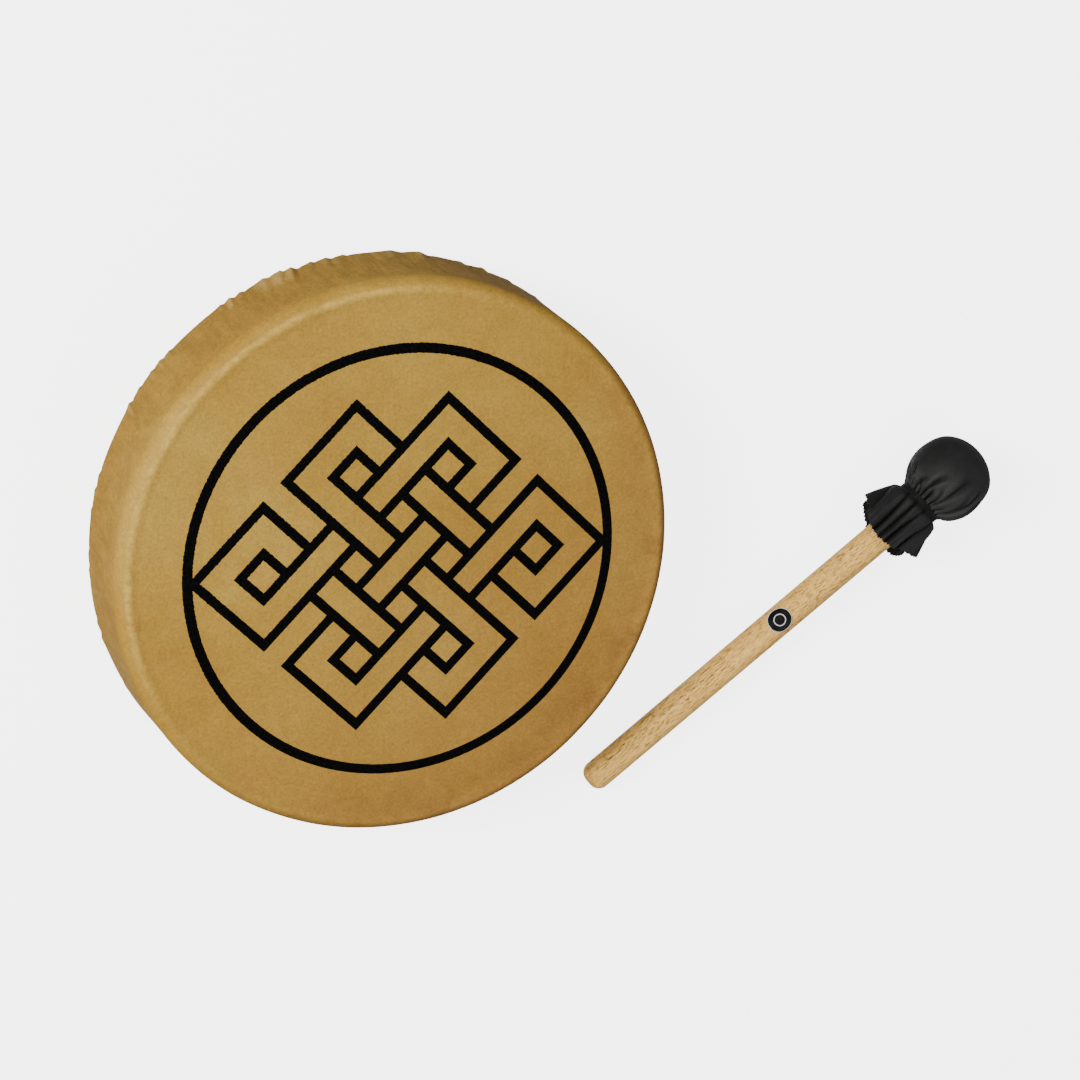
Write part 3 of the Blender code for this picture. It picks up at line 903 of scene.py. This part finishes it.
def build_hoop():
    for node, (light, dark) in PLY_TONES.items():
        low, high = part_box(node)
        outer = high.x
        inner = outer - PLY
        foot = [
            (outer, low.z + PLY_EDGE),
            (outer - PLY_EDGE, low.z),
            (inner + PLY_EDGE, low.z),
            (inner, low.z + PLY_EDGE),
        ]
        mesh = turned(foot + ply_top(inner, outer), 360)
        add(f"bent_{node}", mesh, ply_material(node, light, dark), node)


# --- Lacing and hand hold ---


def strand_start(strand, along, heading):
    """Where a strand lies in its grip: the strands sit in a ring and never cross."""
    side = -1.0 if strand < 3 else 1.0
    place = strand if strand < 3 else 5 - strand
    turn = radians((0.0, 60.0, -60.0)[place])
    across = side * STRAND_CIRCLE * cos(turn)
    height = GRIP_Z + STRAND_CIRCLE * sin(turn)
    out = polar(1.0, heading)
    left = Vector((-out.y, out.x, 0.0))
    return out * along + left * across + Vector((0.0, 0.0, height))


def build_laces(material):
    holes_per_grip = HOLES // GRIPS
    pitch = tau / HOLES
    hem = hem_height((REST_INNER - HOLE_CIRCLE) / (REST_INNER - HEM_RADIUS))
    below = hem - LACE_RADIUS - 1.6 * GAP
    above = hem + HIDE + LACE_RADIUS + 4.0 * GAP
    number = 0
    for grip in range(GRIPS):
        heading = tau * grip / GRIPS
        first_hole = heading - pitch * (holes_per_grip - 1) / 2
        for strand in range(0, holes_per_grip, 2):
            ends = []
            for side in (strand, strand + 1):
                angle = first_hole + pitch * side
                inner = strand_start(side, GRIP_INNER - STRAND_TUCK, heading)
                mouth = strand_start(side, GRIP_OUTER + 0.0008, heading)
                hole = [polar(HOLE_CIRCLE, angle, height) for height in (above, below)]
                ends.append([inner, mouth] + hole)
            route = resampled(rounded_route(ends[0] + ends[1][::-1], LACE_BEND, 6), CORD_STEP)
            number += 1
            mesh = rope_mesh(route, LACE_RADIUS, LACE_LAY)
            add(f"twisted_lace_{number:02d}", mesh, material, f"lace_{number:02d}")


def grip_mesh():
    """A leather strip wound in overlapping turns along X, with its ends turned in."""
    rows = []
    steps = GRIP_TURNS * 9
    for i in range(steps + 1):
        along = i / steps
        place = GRIP_INNER + (GRIP_OUTER - GRIP_INNER) * along
        taper = 0.0008 * (2.0 * along - 1.0) ** 2
        row = []
        for turn in full_turn(GRIP_SIDES):
            winding = (along * GRIP_TURNS + turn / tau) % 1.0
            overlap = LEATHER * (1.0 - winding) ** 1.5 * smoothstep(0.0, 0.10, winding)
            dent = 0.00025 * noise.noise(polar(1.0, turn, 30.0 * along) * 1.7)
            reach = GRIP_RADIUS - LEATHER - taper + overlap + dent
            row.append(round_x(place, reach, turn, GRIP_Z))
        rows.append(row)
    ends = []
    for row, edge in ((rows[0], GRIP_INNER), (rows[-1], GRIP_OUTER)):
        ends.append([Vector((edge, p.y * 0.72, GRIP_Z + (p.z - GRIP_Z) * 0.72)) for p in row])
    return sheet_mesh([ends[0]] + rows + [ends[1]])


def build_grips(material):
    for grip in range(GRIPS):
        mesh = grip_mesh()
        mesh.transform(Matrix.Rotation(tau * grip / GRIPS, 4, "Z"))
        add(f"wound_grip_{grip + 1}", mesh, material, f"grip_wrap_{grip + 1}")


def lashing_route(heading):
    """Turns of cord round the ring's wire, side by side, in front of one grip."""
    steps = LASHING_WRAPS * 24
    width = LASHING_WRAPS * 2.05 * LASHING_RADIUS
    reach = RING_WIRE + LASHING_RADIUS + 0.0002
    route = []
    for i in range(steps + 1):
        coil = tau * i / 24
        swing = heading + (i / steps - 0.5) * width / RING_RADIUS
        radius = RING_RADIUS + reach * cos(coil)
        route.append(polar(radius, swing, GRIP_Z + reach * sin(coil)))
    return route


def build_hand_ring(steel, cord):
    outline = arc((RING_RADIUS, GRIP_Z), (RING_WIRE, RING_WIRE), 0.0, 345.0, 23)
    add("steel_hand_ring", turned(outline, 128), steel, "hand_ring")
    for grip in range(GRIPS):
        mesh = rope_mesh(lashing_route(tau * grip / GRIPS), LASHING_RADIUS, LASHING_LAY)
        add(f"cord_lashing_{grip + 1}", mesh, cord, f"ring_lashing_{grip + 1}")


# --- The beater ---


def beater_frame():
    """The stick's axis as a matrix: origin at the butt's centre, X towards the ball."""
    along = (BALL_CENTRE - STICK_MIDDLE).normalized()
    left = Vector((0.0, 0.0, 1.0)).cross(along).normalized()
    up = along.cross(left)
    butt = BALL_CENTRE - along * BALL_AT
    rows = Matrix((along, left, up)).transposed().to_4x4()
    return Matrix.Translation(butt) @ rows


BEATER = beater_frame()


def along_x(mesh):
    """Lays a mesh turned round Z down along X."""
    mesh.transform(Matrix.Rotation(radians(90), 4, "Y"))
    return mesh


def stick_radius(along):
    return STICK_RADII[0] + (STICK_RADII[1] - STICK_RADII[0]) * along / STICK_LENGTH


def build_stick(material):
    middle = (STICK_RADII[0] - BUTT_ROUNDING, BUTT_ROUNDING)
    butt = arc(middle, (BUTT_ROUNDING, BUTT_ROUNDING), -90.0, 0.0, 10)
    body = [(stick_radius(s), s) for s in (0.05, 0.12, 0.19, 0.26, 0.33)]
    end = [(STICK_RADII[1], STICK_LENGTH - 0.001), (STICK_RADII[1] - 0.001, STICK_LENGTH)]
    outline = [(ON_AXIS, 0.0)] + butt + body + end + [(ON_AXIS, STICK_LENGTH)]
    mesh = along_x(turned(outline, 96))
    add("turned_stick", mesh, material, "beater_stick", "beater")


def lumpy(mesh, centre, reach, scale):
    """Pushes a ball's points in and out a little, as packed fibre is."""
    for corner in mesh.vertices:
        away = corner.co - centre
        corner.co += away.normalized() * noise.noise(corner.co * scale) * reach


def ball_outline(radius, mouth, steps):
    """A ball's outline from its open mouth, of the given radius, to its far end."""
    start = -90.0 + degrees(asin(mouth / radius))
    return arc((0.0, BALL_AT), (radius, radius), start, 89.8, steps)


def build_stuffing(felt, fluff):
    bore = STICK_RADII[1] + GAP
    seat = [(ON_AXIS, STICK_LENGTH + GAP), (bore, STICK_LENGTH + GAP)]
    core = along_x(turned(seat + ball_outline(FELT_RADIUS, bore, 28), 64))
    add("felt_ball", core, felt, "felt_core", "beater")

    opening = STICK_RADII[1] + 0.0060
    outside = ball_outline(BALL_RADIUS - 0.0019, opening, 32)[::-1]
    inside = ball_outline(FELT_RADIUS + 0.0006, opening, 24)
    pad = along_x(turned(outside + inside, 96))
    lumpy(pad, Vector((BALL_AT, 0.0, 0.0)), 0.0003, 90.0)
    wadding = add("soft_wadding", pad, fluff, "wadding", "beater")


def cover_profile():
    """(radius, distance from the butt) from the ball's far end to the tied neck."""
    ball = []
    for i in range(45):
        turn = radians(89.0 - (89.0 + 46.0) * i / 44)
        blunt = smoothstep(0.15, 0.75, sin(turn)) * smoothstep(0.0, 0.5, cos(turn))
        radius = BALL_RADIUS * (1.0 + 0.06 * blunt) * cos(turn)
        ball.append((radius, BALL_AT + BALL_RADIUS * sin(turn)))
    foot = ball[-1]
    into = []
    for i in range(1, 11):
        share = i / 10
        drop = sin(share * pi / 2) ** 0.9
        radius = foot[0] + (NECK_RADIUS - foot[0]) * drop
        into.append((radius, foot[1] + (NECK_AT + 0.0016 - foot[1]) * share))
    tied = [(NECK_RADIUS, NECK_AT + 0.0008 - 0.0008 * i) for i in range(3)]
    return ball + into + tied


def crease_list():
    """Creases that run from the tied neck up the ball: direction, length, depth, width, bend."""
    dice = random.Random(11)
    creases = []
    for i in range(CREASE_COUNT):
        turn = tau * (i + dice.uniform(-0.35, 0.35)) / CREASE_COUNT
        long_one = dice.random() < 0.45
        reach = dice.uniform(0.024, 0.038) if long_one else dice.uniform(0.008, 0.016)
        depth = dice.uniform(0.0020, 0.0034)
        creases.append((turn, reach, depth, dice.uniform(0.036, 0.064), dice.uniform(-0.30, 0.30)))
    return creases


CREASES = crease_list()


def crease_lift(turn, to_neck):
    """How far the ball's cloth is pulled in by the creases, and puffed up beside them."""
    lift = 0.0
    for centre, reach, depth, width, bend in CREASES:
        if to_neck < reach:
            share = max(0.0, to_neck) / reach
            off = (turn - centre - bend * share * share + pi) % tau - pi
            spread = width * (1.0 + 1.2 * share)
            if abs(off) < 4.0 * spread:
                near = abs(off) / spread
                puff = 0.45 * exp(-((near - 1.6) ** 2))
                hollow = exp(-(near**1.3) * 1.6)
                strength = depth * (1.0 - share) ** 0.6 * min(1.0, 0.45 + 3.0 * share)
                lift += strength * (puff - hollow)
    return lift


def ball_point(radius, along, turn):
    to_neck = along - NECK_AT
    lift = crease_lift(turn, to_neck - 0.001)
    soft = noise.noise(round_x(along * 45.0, 1.3, turn))
    lift += 0.0004 * soft * smoothstep(0.0, 0.02, to_neck)
    return along, radius + lift


def fold_wave(turn, sway):
    """Unevenly spaced folds with round crests, 0, and narrow valleys, -1."""
    uneven = noise.noise(polar(1.1, turn, 5.0 + sway))
    phase = SKIRT_FOLDS * (turn + 0.55 * uneven) / 2.0
    return abs(cos(phase)) ** 0.55 - 1.0


def skirt_point(turn, share):
    """The loose edge below the tie: flat on the stick's upper side, spread at its flanks."""
    facing = cos(turn - pi / 2 + BADGE_TURN)  # 1 on the side that the badge faces
    spread = 1.0 - facing**2
    sway = noise.noise(polar(2.5, turn, 9.0))
    hem = HEM_AT + HEM_RISE_AT_FLANKS * spread**1.5 + 0.0014 * sway
    edge = 0.0205 + 0.0090 * spread
    shoulder = NECK_RADIUS + 0.0058
    if share < 0.16:
        radius = NECK_RADIUS + (shoulder - NECK_RADIUS) * sin(share / 0.16 * pi / 2)
    else:
        radius = shoulder + (edge - shoulder) * ((share - 0.16) / 0.84) ** 0.9
    depth = 0.0016 + 0.0052 * smoothstep(0.0, 0.9, share)
    fine = 0.0007 * noise.noise(polar(9.0, turn, 1.5 * share))
    lift = depth * fold_wave(turn, 0.5 * share) + fine * (0.4 + share)
    return NECK_AT - 0.0008 + (hem - NECK_AT + 0.0008) * share, radius + lift


def settled(along, reach, turn):
    """The point on the beater, pressed up where it would go through the table."""
    if along < NECK_AT + 0.004:
        reach = max(reach, STICK_RADII[1] + 0.0010)
    placed = BEATER @ round_x(along, reach, turn)
    soft = 0.0025
    lowest = FLOOR + 0.0004
    if placed.z < lowest + soft:
        placed.z = lowest + soft * exp((placed.z - lowest - soft) / (2.0 * soft))
    return BEATER.inverted() @ placed


def mark_folds(mesh, turns):
    """Notes how deep each point lies in a crease or fold, 1 in a hollow and below 0 on a ridge, for the
    painted shade and highlight.
    """
    depths = []
    for _, along in cover_profile():
        to_neck = along - NECK_AT - 0.001
        # Painted highlight: near the tied neck every point is pushed towards the lighter ridge tone.
        neck_highlight = 0.6 * (1.0 - smoothstep(0.004, 0.026, to_neck))
        for turn in turns:
            depths.append(min(1.0, max(-1.0, -crease_lift(turn, to_neck) / 0.0007 - neck_highlight)))
    for i in range(1, SKIRT_ROWS + 2):
        share = min(1.0, i / SKIRT_ROWS)
        depths += [min(1.0, max(0.0, -2.0 * fold_wave(turn, 0.5 * share) - 0.22)) for turn in turns]
    depths.append(0.0)
    mark_points(mesh, "fold_shade_and_highlight", depths)


def build_cover(material):
    turns = full_turn(COVER_SIDES)
    rows = [[settled(*ball_point(*ring, turn), turn) for turn in turns] for ring in cover_profile()]
    for i in range(1, SKIRT_ROWS + 1):
        rows.append([settled(*skirt_point(turn, i / SKIRT_ROWS), turn) for turn in turns])
    pinked = []
    for j, point in enumerate(rows[-1]):
        tooth = 1.0 - abs((j % 8) / 4.0 - 1.0)
        pinked.append(Vector((point.x - 0.0011 * tooth, point.y, point.z)))
    mesh = sheet_mesh(rows + [pinked], start=Vector((BALL_AT + BALL_RADIUS, 0.0, 0.0)))
    mark_folds(mesh, turns)
    cover = add("gathered_cover", mesh, material, "cloth_cover", "beater")
    thicken(cover, CLOTH)


def build_tie(material):
    """Thread wound round the neck."""
    steps = THREAD_TURNS * 48
    reach = NECK_RADIUS + THREAD_RADIUS
    route = []
    for i in range(steps + 1):
        along = NECK_AT + (i / steps - 0.5) * THREAD_TURNS * 2.0 * THREAD_RADIUS
        route.append(round_x(along, reach, tau * i / 48))
    mesh = rope_mesh(route, THREAD_RADIUS, THREAD_LAY, sides=8)
    add("wound_thread", mesh, material, "neck_tie", "beater")


def bent_disc(inner, outer, lift):
    """A flat ring or disc, its radii given as shares of the badge's, bent round the stick."""
    seat = stick_radius(BADGE_AT) + lift
    rows = []
    for i in range(9):
        radius = BADGE_RADIUS * (inner + (outer - inner) * i / 8)
        row = []
        for turn in full_turn(96):
            along = BADGE_AT + radius * cos(turn)
            wrap = radius * sin(turn) / seat + BADGE_TURN
            row.append(Vector((along, seat * sin(wrap), seat * cos(wrap))))
        rows.append(row)
    return sheet_mesh(rows)


def build_badge(black, pale):
    """A plain round label: black, with a thin pale rim and a small pale circle."""
    mesh = bent_disc(BADGE_HUB / BADGE_RADIUS, 1.0, BADGE_LIFT)
    disc = add("badge_disc", mesh, black, "stick_badge", "beater")
    disc.modifiers.new("thickness", "SOLIDIFY").thickness = 0.0002
    for name, inner, outer in (("badge_rim", 0.95, 1.0), ("badge_circle", 0.42, 0.50)):
        add(name, bent_disc(inner, outer, BADGE_PRINT_LIFT), pale, None, "beater")


# --- Stage ---


def build_floor():
    """A bright card under the drum, clear from below so that the back can be seen."""
    bpy.ops.mesh.primitive_plane_add(size=8.0, location=(0.0, 0.0, FLOOR))
    floor = bpy.context.object
    floor.name = "floor"
    card = Shader("pale_floor", (0.90, 0.90, 0.90), 0.8)
    card.set(Emission_Color=(1.0, 1.0, 1.0, 1.0), Emission_Strength=4.0)
    both = card.node("MixShader")
    card.feed(both.inputs[0], card.node("NewGeometry").outputs["Backfacing"])
    card.feed(both.inputs[1], card.surface.outputs["BSDF"])
    card.feed(both.inputs[2], card.node("BsdfTransparent").outputs["BSDF"])
    card.feed(card.tree.nodes["Material Output"].inputs["Surface"], both.outputs["Shader"])
    floor.data.materials.append(card.material)
    floor.visible_diffuse = False
    floor.visible_glossy = False


def area_light(name, azimuth, elevation, distance, width, power, colour):
    """A round lamp that faces the lit spot from a direction in degrees."""
    turn, rise = radians(azimuth), radians(elevation)
    data = bpy.data.lights.new(name, "AREA")
    data.shape = "DISK"
    data.size = width
    data.energy = power
    data.color = colour
    lamp = bpy.data.objects.new(name, data)
    bpy.context.collection.objects.link(lamp)
    lamp.location = LIT_SPOT + polar(cos(rise), turn, sin(rise)) * distance
    lamp.rotation_euler = (LIT_SPOT - lamp.location).to_track_quat("-Z", "Y").to_euler()


def build_sky():
    """White light from all round, stronger from above."""
    world = bpy.data.worlds.new("studio")
    bpy.context.scene.world = world
    world.use_nodes = True
    nodes, links = world.node_tree.nodes, world.node_tree.links
    place = nodes.new("ShaderNodeTexCoord")
    split = nodes.new("ShaderNodeSeparateXYZ")
    ramp = nodes.new("ShaderNodeMapRange")
    for name, value in SKY.items():
        ramp.inputs[name].default_value = value
    links.new(place.outputs["Generated"], split.inputs["Vector"])
    links.new(split.outputs["Z"], ramp.inputs["Value"])
    links.new(ramp.outputs["Result"], nodes["Background"].inputs["Strength"])
    nodes["Background"].inputs["Color"].default_value = (1.0, 1.0, 1.0, 1.0)


def build_lights():
    for name, settings in LAMPS.items():
        area_light(name, *settings)
    build_sky()


def build_camera():
    data = bpy.data.cameras.new("camera")
    data.lens = CAMERA_LENS
    data.sensor_width = 36.0
    camera = bpy.data.objects.new("camera", data)
    bpy.context.collection.objects.link(camera)
    back = (CAMERA_AT - CAMERA_AIM).normalized()
    side = Vector((0.0, 1.0, 0.0)).cross(back).normalized()
    up = back.cross(side)
    turn = Matrix((side, up, back)).transposed().to_4x4()
    camera.matrix_world = Matrix.Translation(CAMERA_AT) @ turn @ Matrix.Rotation(CAMERA_ROLL, 4, "Z")
    bpy.context.scene.camera = camera


def build_drum():
    skin = hide_material()
    ink = ink_material()
    cord = cord_material("lacing_cord", (0.70, 0.58, 0.38), (0.52, 0.40, 0.24), 0.8)
    build_hide(skin)
    print_ring(ink)
    print_knot(ink)
    build_hoop()
    build_laces(cord)
    build_grips(leather_material())
    build_hand_ring(steel_material(), cord)


def build_beater():
    build_stick(stick_material())
    build_stuffing(
        felt_material("felt", (0.55, 0.52, 0.46), (0.42, 0.40, 0.36)),
        felt_material("wadding", (0.75, 0.73, 0.68), (0.62, 0.60, 0.56)),
    )
    build_cover(cloth_material("black_cloth", 0.011, 0.05))
    build_tie(cloth_material("black_thread", 0.006, 0.02))
    build_badge(badge_material("badge_black", 0.004), badge_material("badge_pale", 0.62))


build_camera()
build_floor()
build_lights()
build_drum()
build_beater()
